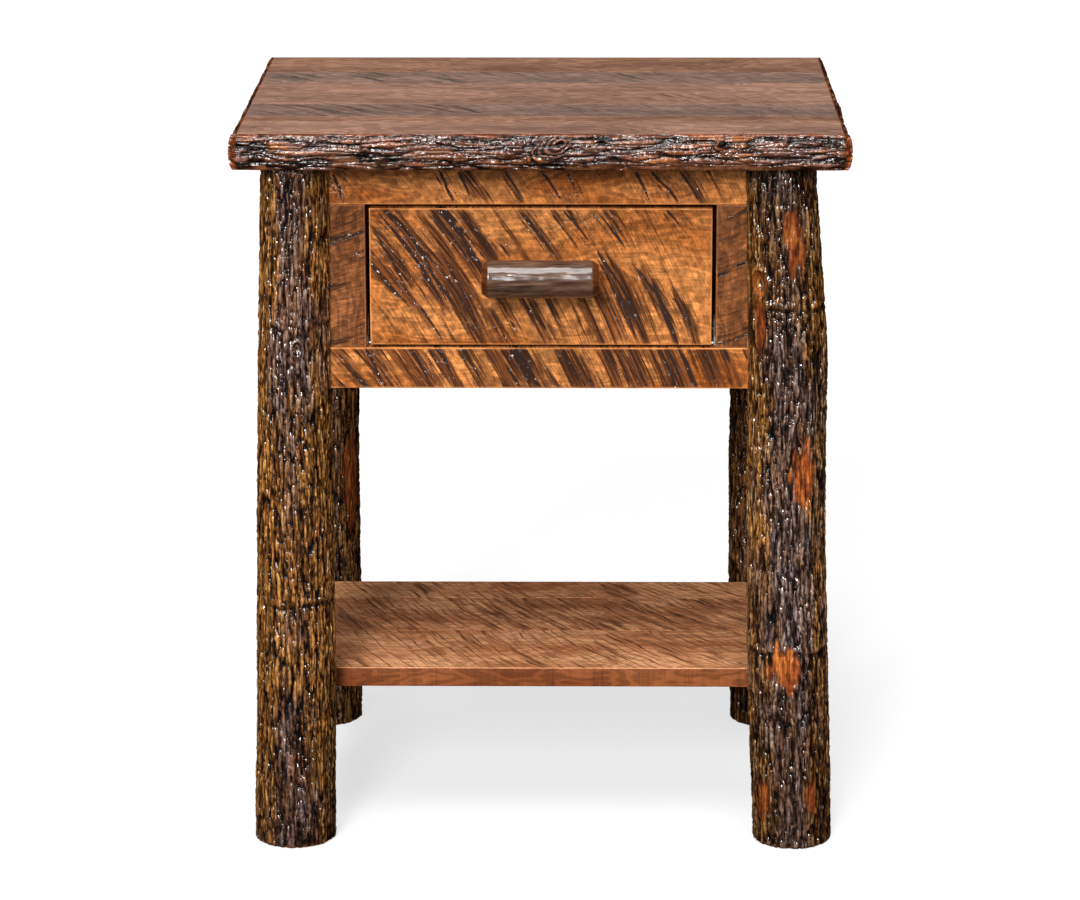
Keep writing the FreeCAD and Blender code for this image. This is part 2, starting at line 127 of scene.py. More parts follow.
def select_upright_edges(piece):
    """Selects the edges that run along a standing log, and nothing else."""
    mesh = piece.data
    bpy.context.tool_settings.mesh_select_mode = (False, True, False)
    for element in itertools.chain(mesh.vertices, mesh.polygons):
        element.select = False
    for edge in mesh.edges:
        low, high = (mesh.vertices[number].co for number in edge.vertices)
        edge.select = abs(high.z - low.z) > 10 * abs(high.x - low.x)


def straight_log(name, radius, length, around, cuts):
    """A cylinder that stands on its end at the origin, cut into small cells."""
    bpy.ops.object.select_all(action="DESELECT")
    bpy.ops.mesh.primitive_cylinder_add(vertices=around, radius=radius, depth=length,
                                        location=(0, 0, length / 2))
    log = bpy.context.object
    log.name = log.data.name = name
    bpy.ops.object.transform_apply()
    for cut in cuts:
        select_upright_edges(log)
        bpy.ops.object.mode_set(mode="EDIT")
        bpy.ops.mesh.subdivide(number_cuts=cut)
        bpy.ops.object.mode_set(mode="OBJECT")
    return log


def mesh_points(piece):
    points = np.empty(len(piece.data.vertices) * 3)
    piece.data.vertices.foreach_get("co", points)
    return points.reshape(-1, 3)


def set_points(piece, points):
    piece.data.vertices.foreach_set("co", points.ravel())
    piece.data.update()


def paint(piece, name, values):
    """Keeps one number for each vertex, which the piece's material reads."""
    layer = piece.data.attributes.new(name, "FLOAT", "POINT")
    layer.data.foreach_set("value", np.asarray(values, float))


def bark_relief(spot, seed, ridge=bark_ridge_width, length=bark_plate_length, rough=1.0):
    """Height of hickory bark, from 0 in a furrow to 1 on a ridge. Spot is on the log, in metres."""
    bend = np.stack([layered(spot / bark_bend_size, seed + k, 2) for k in (0, 20, 40)], 1)
    spot = spot + bend * bark_bend_reach

    def sized(across, along):
        return spot / (ridge * across, ridge * across, length * along)

    plates = smooth(0.0, 0.30, cell_edges(sized(1, 1), seed))
    chips = smooth(0.0, 0.25, cell_edges(sized(0.5, 0.2), seed + 3))
    furrows = smooth(0.15, 0.45, noise(sized(0.65, 0.34), seed + 4))
    cracks = 1 - smooth(0.02, 0.10, np.abs(noise(sized(1.5, 1.6), seed + 7)))
    fibres = noise(spot / bark_fibre_size, seed + 5)
    crumbs = noise(spot / bark_crumb_size, seed + 6)
    detail = 0.20 * chips - 0.22 * furrows + 0.14 * fibres + 0.20 * crumbs
    return np.clip(0.18 + 0.50 * plates - 0.30 * cracks + 0.09 * (1 - rough) + rough * detail, 0, 1)


def new_material(name):
    material = bpy.data.materials.new(name)
    material.use_nodes = True
    tree = material.node_tree
    return material, tree, tree.nodes["Principled BSDF"]


def node(tree, kind, **settings):
    made = tree.nodes.new("ShaderNode" + kind)
    for key, value in settings.items():
        setattr(made, key, value)
    return made


def feed(tree, socket, value):
    """Links a socket to another one, or sets it to a plain number or colour."""
    if isinstance(value, bpy.types.NodeSocket):
        tree.links.new(value, socket)
    else:
        socket.default_value = (*value, 1) if isinstance(value, tuple) else value


def set_plain(shader, values):
    """Sets sockets of the shader to plain numbers or colours."""
    for name, value in values.items():
        shader.inputs[name].default_value = value


def maths(tree, operation, *terms):
    """The result of a sum whose terms are sockets or plain numbers."""
    made = node(tree, "Math", operation=operation)
    for socket, term in zip(made.inputs, terms):
        feed(tree, socket, term)
    return made.outputs[0]


def ramp(tree, source, stops):
    """Turns a number into a colour through the stops."""
    made = node(tree, "ValToRGB")
    line = made.color_ramp.elements
    while len(line) < len(stops):
        line.new(0.5)
    for element, (place, colour) in zip(line, stops):
        element.position = place
        element.color = (*colour, 1)
    tree.links.new(source, made.inputs["Fac"])
    return made.outputs["Color"]


def greys(tree, source, *stops):
    """Turns a number into a grey through the stops."""
    return ramp(tree, source, [(place, (value,) * 3) for place, value in stops])


def mixed(tree, share, low, high, kind="MIX"):
    """Mixes two colours, each a socket or a plain colour."""
    made = node(tree, "Mix", data_type="RGBA", blend_type=kind)
    for socket, value in ((made.inputs[0], share), (made.inputs[6], low), (made.inputs[7], high)):
        feed(tree, socket, value)
    return made.outputs[2]


def attribute(tree, name, kind="Fac"):
    return node(tree, "Attribute", attribute_name=name).outputs[kind]


def bumped(tree, height, distance, shader, sockets=("Normal",), strength=1.0):
    """Raises the surface by a pattern, to a height of distance, for some of the shader's layers."""
    bump = node(tree, "Bump")
    bump.inputs["Strength"].default_value = strength
    bump.inputs["Distance"].default_value = distance
    tree.links.new(height, bump.inputs["Height"])
    for socket in sockets:
        tree.links.new(bump.outputs["Normal"], shader.inputs[socket])


def stretched(tree, stretch, place=None):
    """The piece's own coordinates, or another place, longer along an axis with a small number."""
    fit = node(tree, "Mapping")
    fit.inputs["Scale"].default_value = stretch
    if place is None:
        place = node(tree, "TexCoord").outputs["Object"]
    tree.links.new(place, fit.inputs["Vector"])
    return fit.outputs["Vector"]


def noise_pattern(tree, scale, detail=3.0, stretch=(1, 1, 1), roughness=0.5, place=None):
    made = node(tree, "TexNoise")
    made.inputs["Scale"].default_value = scale
    made.inputs["Detail"].default_value = detail
    made.inputs["Roughness"].default_value = roughness
    tree.links.new(stretched(tree, stretch, place), made.inputs["Vector"])
    return made.outputs["Fac"]


def crack_pattern(tree, scale, stretch):
    """Wavering long cells: 0 in the crack between two of them, and rising inside."""
    place = stretched(tree, stretch)
    waver = node(tree, "TexNoise")
    waver.inputs["Scale"].default_value = scale * 0.45
    shift = node(tree, "MixRGB", blend_type="LINEAR_LIGHT")
    shift.inputs["Fac"].default_value = 0.9 / scale
    cells = node(tree, "TexVoronoi", feature="DISTANCE_TO_EDGE")
    cells.inputs["Scale"].default_value = scale
    tree.links.new(place, waver.inputs["Vector"])
    tree.links.new(place, shift.inputs["Color1"])
    tree.links.new(waver.outputs["Color"], shift.inputs["Color2"])
    tree.links.new(shift.outputs["Color"], cells.inputs["Vector"])
    return cells.outputs["Distance"]


def bark_finish(name, shade, bare_tones=bare_red_tones, along=2, cell_scale=190, lacquer=1.0):
    """Lacquered bark: dark furrows, brown, golden or grey ridges that glint, and bare wood where the
    bark is worn off."""
    material, tree, shader = new_material(name)
    lengthwise = [tuple(share if axis == along else 1 for axis in range(3))
                  for share in (0.8, 0.25, 0.16, 0.11)]
    lumps = noise_pattern(tree, 280, 1.0, lengthwise[0])
    fine = noise_pattern(tree, 700, 3, lengthwise[1], 0.6)
    streaks = noise_pattern(tree, 240, 4, lengthwise[2], 0.6)
    ridges = crack_pattern(tree, cell_scale, lengthwise[3])
    level = maths(tree, "MULTIPLY_ADD", fine, 0.5, -0.25)
    relief = maths(tree, "ADD", level, attribute(tree, "relief"))
    heights = (0.14, 0.34, 0.62, 0.95)
    brown, golden, grey = [ramp(tree, relief, tuple(zip(heights, tones))) for tones in (
        ((0.004, 0.0016, 0.0009), (0.030, 0.0095, 0.0030), (0.125, 0.044, 0.013), (0.27, 0.110, 0.042)),
        ((0.006, 0.0022, 0.0008), (0.060, 0.018, 0.0030), (0.225, 0.076, 0.010), (0.46, 0.205, 0.045)),
        ((0.004, 0.0022, 0.0016), (0.028, 0.013, 0.0085), (0.095, 0.052, 0.036), (0.23, 0.155, 0.12)))]
    bare = ramp(tree, streaks, tuple(zip((0.34, 0.5, 0.68), bare_tones)))
    sanded = ramp(tree, streaks, ((0.3, (0.09, 0.024, 0.006)), (0.7, (0.30, 0.092, 0.022))))
    colour = brown
    for layer, tone in (("golden", golden), ("grey", grey), ("bare", bare), ("sanded", sanded)):
        colour = mixed(tree, attribute(tree, layer), colour, tone)
    shades = greys(tree, lumps, (0.32, 0.70), (0.68, 1.45))
    cracks = greys(tree, ridges, (0.01, 0.25), (0.11, 1.22))
    cracks = mixed(tree, attribute(tree, "bare"), cracks, (0.95, 0.95, 0.95))
    tones = greys(tree, attribute(tree, "tone"), (0, 0), (1, 1))
    for factor in (shades, cracks, shade, tones):
        colour = mixed(tree, 1.0, colour, factor, "MULTIPLY")
    tree.links.new(colour, shader.inputs["Base Color"])
    tree.links.new(greys(tree, fine, (0.3, 0.62), (0.7, 0.42)), shader.inputs["Roughness"])
    raised = greys(tree, relief, (0.15, 0.1 * lacquer), (0.35, lacquer))
    gloss = mixed(tree, attribute(tree, "bare"), raised, (0.3, 0.3, 0.3))
    tree.links.new(gloss, shader.inputs["Coat Weight"])
    set_plain(shader, {"Specular IOR Level": 0.1, "Coat Roughness": 0.16, "Coat IOR": 1.9})
    flanks = greys(tree, ridges, (0.0, 0.0), (0.22, 1.0))
    beads = mixed(tree, 0.45, lumps, flanks)
    bumped(tree, flanks, 0.0009, shader)
    bumped(tree, beads, 0.0020, shader, ("Coat Normal",))
    return material


# Each log's shade multiplies its bark colour. On the front logs it is lighter and bluer: a painted bluish
# sheen of the lacquer. On the rear logs it is darker: painted shade, darkest on the right one.
logs = {
    "leg_front_left": {
        "side": -1, "axis_y": -0.17875, "lean": 0.012, "top": 0.035, "foot": 0.0412, "seed": 11,
        "sway": (0, 0.005, 0.015, -0.015, -0.035, -0.05, -0.04, -0.035),
        "nod": (0, -0.01, 0.01, 0.02, 0.01, -0.01, 0, 0),
        "swell": (0.005, -0.005, 0.015, 0.015, 0.01, -0.005, -0.02, -0.015),
        "worn": (), "knots": ((8, 0.503, 0.006, 0.007, 0),), "rings": (0.527, 0.251),
        "golden": (0.2, 0.5, 0.9, 1.0, 1.1, 0.6, 0.8, 0.6),
        "grey": (0.4, 0.1, -0.2, -0.3, -0.2, 0.6, 0, 0.1), "shade": (1.08, 1.18, 1.5),
        "tone": (0.55, 0.68, 0.85, 0.92, 0.95, 0.85, 0.92, 0.90),
    },
    "leg_front_right": {
        "side": 1, "axis_y": -0.17875, "lean": 0.013, "top": 0.035, "foot": 0.0412, "seed": 23,
        "sway": (0.075, 0.045, -0.01, -0.035, -0.015, 0.04, -0.035, -0.13),
        "nod": (0, 0.01, 0, -0.01, 0.01, 0.02, 0, 0),
        "swell": (-0.04, 0.005, 0.05, 0.02, 0.05, 0.095, 0.05, -0.01),
        "worn": ((16, 0.606, 0.012, 0.036), (24, 0.380, 0.014, 0.040), (-5, 0.186, 0.019, 0.026),
                 (-50, 0.047, 0.012, 0.022), (-45, 0.525, 0.006, 0.030), (30, 0.052, 0.008, 0.020)),
        "knots": ((-45, 0.565, 0.009, 0.013, 1),), "rings": (0.545, 0.205),
        "golden": (0, 0.1, 0.1, 0.1, 0.1, 0.1, 0.4, 0.2),
        "grey": (0.2, 0.1, 0.5, 0.5, 0.2, 0.5, -0.1, 0.2), "shade": (1.15, 1.3, 1.55),
        "tone": (0.50, 0.60, 0.90, 0.95, 0.95, 0.75, 0.62, 0.60),
    },
    "leg_rear_left": {
        "side": -1, "axis_y": 0.19275, "lean": 0.006, "top": 0.0365, "foot": 0.0395, "seed": 37,
        "sway": (0.02, 0.035, 0.015, 0.005, 0.025, 0.035, 0.025, 0.02),
        "nod": (0, 0, 0.01, 0.01, 0, -0.01, 0, 0),
        "swell": (0, 0.01, 0, -0.01, 0.01, 0, 0, 0),
        "worn": ((62, 0.27, 0.02, 0.05),), "knots": (), "rings": (0.33,),
        "golden": (0.2,) * 8, "grey": (0.1,) * 8, "shade": (0.75, 0.85, 0.9),
        "tone": (1,) * 8,
    },
    "leg_rear_right": {
        "side": 1, "axis_y": 0.19275, "lean": 0.006, "top": 0.0365, "foot": 0.0395, "seed": 53,
        "sway": (-0.02, -0.05, -0.06, -0.06, -0.07, -0.08, -0.04, -0.015),
        "nod": (0, 0.01, 0.01, 0, -0.01, 0, 0, 0),
        "swell": (0, 0.01, 0.03, 0.03, 0.01, 0.03, 0.01, 0),
        "worn": (), "knots": (), "rings": (0.42,),
        "golden": (0.1,) * 8, "grey": (0,) * 8, "shade": (0.4, 0.4, 0.45),
        "tone": (1,) * 8,
    },
}


def patch_reach(turn, height, at_turn, at_height, half_width, half_height):
    """Distance from the middle of a patch on a log, 1 at its rim. Turns are in degrees, 0 in front."""
    across = np.radians(turn - at_turn) * log_pattern_radius / half_width
    return np.hypot(across, (height - at_height) / half_height)


for node_name, sizes in logs.items():
    log = straight_log(node_name.replace("leg", "log"), sizes["foot"], log_height, cells_around, cuts_along)
    points = mesh_points(log)
    angle = np.arctan2(points[:, 1], points[:, 0])
    turn = (np.degrees(angle) + 90 + 180) % 360 - 180
    height = points[:, 2]
    share = height / log_height
    spot = np.stack([log_pattern_radius * np.cos(angle), log_pattern_radius * np.sin(angle), height], axis=1)
    seed = sizes["seed"]
    relief = bark_relief(spot, seed)
    edge = layered(spot / worn_edge_size, seed + 60)
    worn = np.zeros(len(points))
    sink = np.zeros(len(points))
    for patch in sizes["worn"]:
        reach = patch_reach(turn, height, *patch) + 0.55 * edge
        worn = np.maximum(worn, 1 - smooth(0.7, 1.0, reach))
    for *patch, opened in sizes["knots"]:
        reach = patch_reach(turn, height, *patch) + 0.35 * edge
        swirl = np.exp(-(reach / 1.5) ** 2)
        relief = relief * (1 - swirl) + (0.50 + 0.45 * np.cos(reach * 6.5 - 2.6 + 1.5 * edge)) * swirl
        worn = np.maximum(worn, opened * smooth(0.35, 0.5, reach) * (1 - smooth(0.85, 1.1, reach)))
        sink -= knot_collar_rise * np.exp(-((reach - 1.0) / 0.3) ** 2)
        sink += knot_hole_depth * (1 - smooth(0.2, 0.6, reach))
    for at_height in sizes["rings"]:
        above = height - at_height - ring_wave * layered(spot / ring_wave_size, seed + 70)
        reached = smooth(-0.25, 0.35, noise(spot / ring_break_size, seed + 71))
        near = np.exp(-(above / ring_ridge_width) ** 2) * reached
        groove = np.exp(-((above + ring_groove_drop) / ring_groove_width) ** 2) * reached
        relief = (relief * (1 - 0.5 * near) + 0.40 * near) * (1 - 0.5 * groove)
        sink += ring_groove_depth * groove - ring_ridge_rise * near
    wobble = layered(spot / bark_wobble_size, seed + 80, 2)
    step_in = bark_depth * (1 - relief) * (1 - worn) + worn * worn_depth * (1 + 0.35 * edge)
    back = bark_skin + step_in + sink + bark_wobble * (0.5 - 0.5 * wobble)
    to_foot = log_foot_easing - np.clip(height, 0, log_foot_easing)
    back = back + log_foot_easing - np.sqrt(np.maximum(0, log_foot_easing ** 2 - to_foot ** 2))
    top = sizes["top"]
    leaned = log_half_span + sizes["lean"] * (1 - share)
    centre_x = sizes["side"] * leaned + top * station_line(sizes["sway"], share)
    centre_y = sizes["axis_y"] + top * station_line(sizes["nod"], share)
    radius = sizes["foot"] + (top - sizes["foot"]) * share + top * station_line(sizes["swell"], share)
    reach = radius - np.maximum(back, -0.001)
    set_points(log, np.stack([centre_x + reach * np.cos(angle), centre_y + reach * np.sin(angle), height], 1))
    bpy.ops.object.shade_smooth()
    paint(log, "relief", relief)
    paint(log, "bare", worn)
    paint(log, "sanded", 1 - smooth(*foot_sanding, height))
    # The tone darkens each front log towards its foot, and the right one towards its top as well.
    paint(log, "tone", station_line(sizes["tone"], share))
    # Each log is painted greyer down its front, a painted sheen of the lacquer, and more golden on its sides
    # where that sheen gives way; the station lists and patches add the bark's own tones.
    flank = smooth(12, 45, np.abs(turn))
    for name, number, painted_sheen_lift in (("golden", 90, 0.8 * flank - 0.2), ("grey", 95, 0.25 - 0.5 * flank)):
        patches = layered(spot / tone_patch_size, seed + number)
        paint(log, name, np.clip(station_line(sizes[name], share) + painted_sheen_lift + 0.9 * patches, 0, 1))
    log.data.materials.append(bark_finish(log.name + "_bark", sizes["shade"]))
    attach(log, "root")
    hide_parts(node_name)

# Case. The face frame, side boards and back boards are rough-sawn planks let into the logs. The saw
# left curved marks across them, which the stain fills dark, and the edges are eased by hand.
board_ease = 0.0011
board_cell = 0.0011
saw_depth = 0.0007
saw_waver, saw_waver_size = 0.002, (0.03, 0.04, 1)
saw_band_size, saw_streak_size, saw_line_size = (0.0085, 0.07), (0.0036, 0.04), (0.0030, 0.040)
saw_torn_size, saw_chatter_size, saw_pit_size = (0.0016, 0.007, 1), (0.0018, 0.03, 1), (0.0015, 0.004, 1)
streak_bow, streak_bow_length, streak_tear = 0.0028, 0.09, 0.0012
streak_strands = ((0, 1), (0.0046, 0.40), (-0.0050, 0.34), (-0.0090, 0.28))
eased_rim_patch_size = 0.012


def spaced_lines(length, cell, ease):
    """Grid lines along a length: close together at both ends, where the edge is eased."""
    ends = np.array((0, 0.2, 0.5, 1)) * ease
    inner = np.linspace(ease, length - ease, max(2, round((length - 2 * ease) / cell)) + 1)[1:-1]
    return np.concatenate([ends, inner, length - ends[::-1]])


def face_outward(piece):
    bpy.ops.object.mode_set(mode="EDIT")
    bpy.ops.mesh.select_all(action="SELECT")
    bpy.ops.mesh.normals_make_consistent(inside=False)
    bpy.ops.object.mode_set(mode="OBJECT")


def plank(name, low, high, along, out, side, cell=board_cell, ease=board_ease):
    """A board with a finely divided, eased face on one side. Axes are 0 to 2. Returns the board and
    its points' distance along the grain, across it, whether they are on the fine face, and how far
    they are from its rim."""
    across = 3 - along - out
    lines = [spaced_lines(high[axis] - low[axis], cell, ease) for axis in (along, across)]
    bpy.ops.object.select_all(action="DESELECT")
    bpy.ops.mesh.primitive_grid_add(x_subdivisions=len(lines[0]) - 1, y_subdivisions=len(lines[1]) - 1,
                                    size=2)
    board = bpy.context.object
    board.name = board.data.name = name
    bpy.ops.object.mode_set(mode="EDIT")
    bpy.ops.mesh.extrude_region_move(TRANSFORM_OT_translate={"value": (0, 0, 1)})
    bpy.ops.object.mode_set(mode="OBJECT")
    bpy.context.tool_settings.mesh_select_mode = (False, False, True)
    mesh = board.data
    middles = np.empty(len(mesh.polygons) * 3)
    mesh.polygons.foreach_get("center", middles)
    mesh.vertices.foreach_set("select", np.zeros(len(mesh.vertices), bool))
    mesh.edges.foreach_set("select", np.zeros(len(mesh.edges), bool))
    mesh.polygons.foreach_set("select", middles[2::3] < 0.01)
    bpy.ops.object.mode_set(mode="EDIT")
    bpy.ops.mesh.delete(type="FACE")
    bpy.ops.mesh.select_mode(type="EDGE")
    bpy.ops.mesh.select_all(action="DESELECT")
    bpy.ops.mesh.select_non_manifold()
    bpy.ops.mesh.edge_face_add()
    bpy.ops.object.mode_set(mode="OBJECT")
    points = mesh_points(board)
    steps = [np.rint((points[:, n] + 1) / 2 * (len(lines[n]) - 1)).astype(int) for n in (0, 1)]
    grain, cross = lines[0][steps[0]], lines[1][steps[1]]
    fine = points[:, 2] > 0.5
    rim = np.minimum(np.minimum(grain, lines[0][-1] - grain), np.minimum(cross, lines[1][-1] - cross))
    eased = ease - np.sqrt(np.maximum(0, ease ** 2 - np.maximum(0, ease - rim) ** 2))
    placed = np.empty_like(points)
    placed[:, along] = low[along] + grain
    placed[:, across] = low[across] + cross
    face, rear = (high[out], low[out]) if side > 0 else (low[out], high[out])
    placed[:, out] = np.where(fine, face - side * eased, rear)
    set_points(board, placed)
    face_outward(board)
    return board, grain, cross, fine, rim


def paint_place(piece, name, places):
    """Keeps a place for each vertex, which the piece's material reads as coordinates."""
    layer = piece.data.attributes.new(name, "FLOAT_VECTOR", "POINT")
    layer.data.foreach_set("vector", np.asarray(places, float).ravel())


def saw_marks(along, across, seed, centre, cover, streaks=(), heavy=(), size=1):
    """Curved saw marks round a centre, with the named streaks (two ends and a half width) the
    strongest. Returns the soft stain, the dark torn lines in it, and each point's place on the arcs."""
    radius = np.hypot(along - centre[0], across - centre[1])
    turn = np.arctan2(across - centre[1], along - centre[0]) * np.hypot(*centre)
    arc = np.stack([radius, turn, np.zeros(len(radius))], 1)
    arc[:, 0] += saw_waver * noise(arc / saw_waver_size, seed + 1)

    def sized(pattern):
        return arc / (pattern[0] * size, pattern[1] * size, 1)

    band = layered(sized(saw_band_size), seed, 3)
    streak = noise(sized(saw_streak_size), seed + 4)
    torn = layered(arc / saw_torn_size, seed + 8, 2)
    place = cover + sum(strength * np.exp(-((along - at) / wide) ** 2 - ((across - up) / tall) ** 2)
                        for at, up, wide, tall, strength in heavy)
    line = 0.8 * noise(sized(saw_line_size), seed + 15) + 0.35 * streak
    dark = smooth(0.22, 0.55, line + 0.25 * torn) * smooth(-0.10, 0.40, band + place)
    drawn = np.zeros(len(radius))
    for x0, y0, x1, y1, half_width in streaks:
        length = math.hypot(x1 - x0, y1 - y0)
        share = ((along - x0) * (x1 - x0) + (across - y0) * (y1 - y0)) / length ** 2
        aside = ((along - x0) * (y1 - y0) - (across - y0) * (x1 - x0)) / length
        bow = streak_bow * (length / streak_bow_length) ** 2
        aside = aside + bow * 4 * share * (1 - share) + streak_tear * torn
        width = half_width * (0.7 + 0.5 * streak) * smooth(-0.08, 0.12, share) * smooth(-0.1, 0.35, 1 - share)
        for shift, slim in streak_strands:
            near = np.abs(aside - shift - streak_tear * torn) / np.maximum(width * slim, 1e-5)
            dark = np.maximum(dark, (1 if slim == 1 else 0.8) * (1 - smooth(0.45, 1.05, near)))
        drawn = np.maximum(drawn, np.exp(-((aside + 0.002) / (3.2 * half_width)) ** 2)
                           * smooth(-0.15, 0.1, share) * smooth(-0.25, 0.2, 1 - share))
    level = band + 0.45 * streak + place + 0.55 * drawn
    stain = smooth(-0.30, 0.60, level + 0.25 * torn)
    return stain, dark, arc


def sawn_finish(name, light, warm, stained, dark, gloss=0.5, glint=1.0, contrast=1.0, lines_scale=620,
                line_spacing=0, curly=1.0):
    """Stained rough-sawn board: figured wood, brown bands, and dark torn lines where the coat glints."""
    material, tree, shader = new_material(name)
    grain, arc = attribute(tree, "grain", "Vector"), attribute(tree, "arc", "Vector")
    saw, wear_and_painted_highlight, shade = [attribute(tree, layer) for layer in ("saw", "wear_and_painted_highlight", "shade")]

    def texture(place, scale, stretch, detail=4, roughness=0.55):
        return noise_pattern(tree, scale, detail, stretch, roughness, place)

    figure = texture(grain, 20, (0.35, 1, 1), 3)
    curl = texture(grain, 170, (1, 0.7, 1), 4, 0.7)
    fibre = texture(grain, 700, (0.06, 1, 1), 3)
    scratch = texture(arc, lines_scale, (1, 0.05, 1), 5, 0.65)
    furrow = texture(arc, 290, (1, 0.06, 1), 2)
    blobs = texture(arc, 330, (1, 0.45, 1), 1)

    def multiplied(colour, source, low, high, start=0.3, stop=0.7):
        low, high = 1 - (1 - low) * contrast, 1 + (high - 1) * contrast
        factor = greys(tree, source, (start, low), (stop, high))
        return mixed(tree, 1.0, colour, factor, "MULTIPLY")

    def torn_share(layer, reach, low, high):
        """The share of a stain at each point, its edges torn along the saw marks."""
        tear = maths(tree, "MULTIPLY_ADD", scratch, -reach, reach / 2)
        return greys(tree, maths(tree, "ADD", tear, layer), (low, 0), (high, 1))

    wave = maths(tree, "SINE", maths(tree, "MULTIPLY", figure, 90))
    wood = ramp(tree, figure, ((0.36, warm), (0.60, light)))
    wood = multiplied(wood, curl, 1 - 0.58 * curly, 1 + 0.38 * curly)
    wood = multiplied(wood, fibre, 0.76, 1.14)
    wood = multiplied(wood, wave, 0.70, 1.05, 0.0, 0.4)
    deep, pale = [tuple(factor * value for value in stained) for factor in (0.42, 1.9)]
    banded = ramp(tree, furrow, ((0.36, deep), (0.50, stained), (0.66, pale)))
    colour = mixed(tree, torn_share(attribute(tree, "stain"), 1.9, 0.25, 1.0), wood, banded)
    lined = 0.4 + 0.6 * curly
    colour = multiplied(colour, scratch, 1 - 0.45 * lined, 1 + 0.35 * lined)
    colour = mixed(tree, torn_share(saw, 1.4, 0.25, 0.7), colour, dark)
    if line_spacing:
        waver = texture(arc, 60, (1, 0.15, 1), 2)
        strength = texture(arc, 130, (1, 0.10, 1), 2)
        split = node(tree, "SeparateXYZ")
        tree.links.new(arc, split.inputs[0])
        turns = maths(tree, "MULTIPLY", split.outputs[0], 2 * math.pi / line_spacing)
        tooth = maths(tree, "SINE", maths(tree, "MULTIPLY_ADD", waver, 10, turns))
        thin = greys(tree, tooth, (0.82, 0), (0.97, 1))
        for factor in (greys(tree, strength, (0.36, 0.10), (0.58, 0.95)),
                       greys(tree, shade, (0.6, 0), (1, 1))):
            thin = mixed(tree, 1.0, thin, factor, "MULTIPLY")
        colour = mixed(tree, thin, colour, dark)
    # Near the eased rims the wood turns lighter: partly rubbed wear, partly a painted highlight along the
    # rounded edge.
    colour = mixed(tree, wear_and_painted_highlight, colour, tuple(min(0.85, value * 1.25) for value in light))
    toned = ramp(tree, shade, ((0, (0, 0, 0)), (0.5, (0.62, 0.40, 0.26)), (1, (1, 1, 1))))
    tree.links.new(mixed(tree, 1.0, colour, toned, "MULTIPLY"), shader.inputs["Base Color"])
    rough = greys(tree, scratch, (0.3, gloss + 0.1), (0.7, gloss - 0.08))
    tree.links.new(rough, shader.inputs["Roughness"])
    coat = greys(tree, saw, (0.1, 0.04 * glint), (0.5, 0.9 * glint))
    tree.links.new(mixed(tree, wear_and_painted_highlight, coat, (0.7, 0.7, 0.7)), shader.inputs["Coat Weight"])
    set_plain(shader, {"Specular IOR Level": 0.1, "Coat Roughness": 0.14})
    bumped(tree, scratch, 0.0005, shader)
    bumped(tree, blobs, 0.0042 * glint, shader, ("Coat Normal",))
    return material


def sawn_board(node_name, along, out, side, seed, centre, cover, finish, streaks=(), heavy=(),
               depth=saw_depth, cell=board_cell, body="root", ease=board_ease,
               rear_stain=0.3, rear_shade=1, size=1, marks=1, rubbed_and_highlit=1):
    """Replaces a board of the case with a sawn plank in the same place. Streaks are in millimetres of
    the frame, along the grain and across it."""
    low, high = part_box(node_name)
    left, foot = low[along], low[3 - along - out]
    board, grain, cross, fine, rim = plank(node_name + "_sawn", low, high, along, out, side, cell, ease)
    placed = [(x0 / 1000 - left, y0 / 1000 - foot, x1 / 1000 - left, y1 / 1000 - foot, half_width / 1000)
              for x0, y0, x1, y1, half_width in streaks]
    stain, dark, arc = saw_marks(grain, cross, seed, centre, cover, placed, heavy, size)
    dark = dark * marks
    chatter = noise(arc / saw_chatter_size, seed + 12)
    torn = noise(arc / saw_pit_size, seed + 13)
    sunk = depth * (0.15 + 0.12 * chatter + dark * (0.45 + 0.25 * torn)) * smooth(0, 0.002, rim)
    points = mesh_points(board)
    points[:, out] -= side * np.where(fine, sunk, 0)
    set_points(board, points)
    bpy.ops.object.shade_smooth_by_angle(angle=math.radians(40))
    offset = seed * 0.371
    face = fine & (rim > 0.3 * ease)
    paint(board, "saw", np.where(fine, dark, 0.1 * dark))
    paint(board, "stain", np.where(face, stain, rear_stain))
    # The eased rims are lightened by rubbing: partly real wear, partly a painted highlight along the rounded
    # edge.
    rubbing_and_highlight = 0.75 + 0.35 * noise(np.stack([grain, cross, 0 * grain], 1) / eased_rim_patch_size, seed + 14)
    rubbing_and_highlight = rubbing_and_highlight * rubbed_and_highlit * (1 - smooth(0.4 * ease, 1.4 * ease, rim))
    paint(board, "wear_and_painted_highlight", np.where(fine & (rim > 0.1 * ease), rubbing_and_highlight, 0))
    paint(board, "shade", np.where(face, 1, rear_shade))
    paint_place(board, "arc", arc + (0, 0, offset))
    paint_place(board, "grain", np.stack([grain, cross, np.where(fine, 0, 0.02) + offset], 1))
    board.data.materials.append(finish)
    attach(board, body)
    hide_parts(node_name)


honey = sawn_finish("honey_sawn", (0.67, 0.245, 0.066), (0.38, 0.098, 0.014), (0.104, 0.030, 0.0080),
                    (0.034, 0.0150, 0.010))
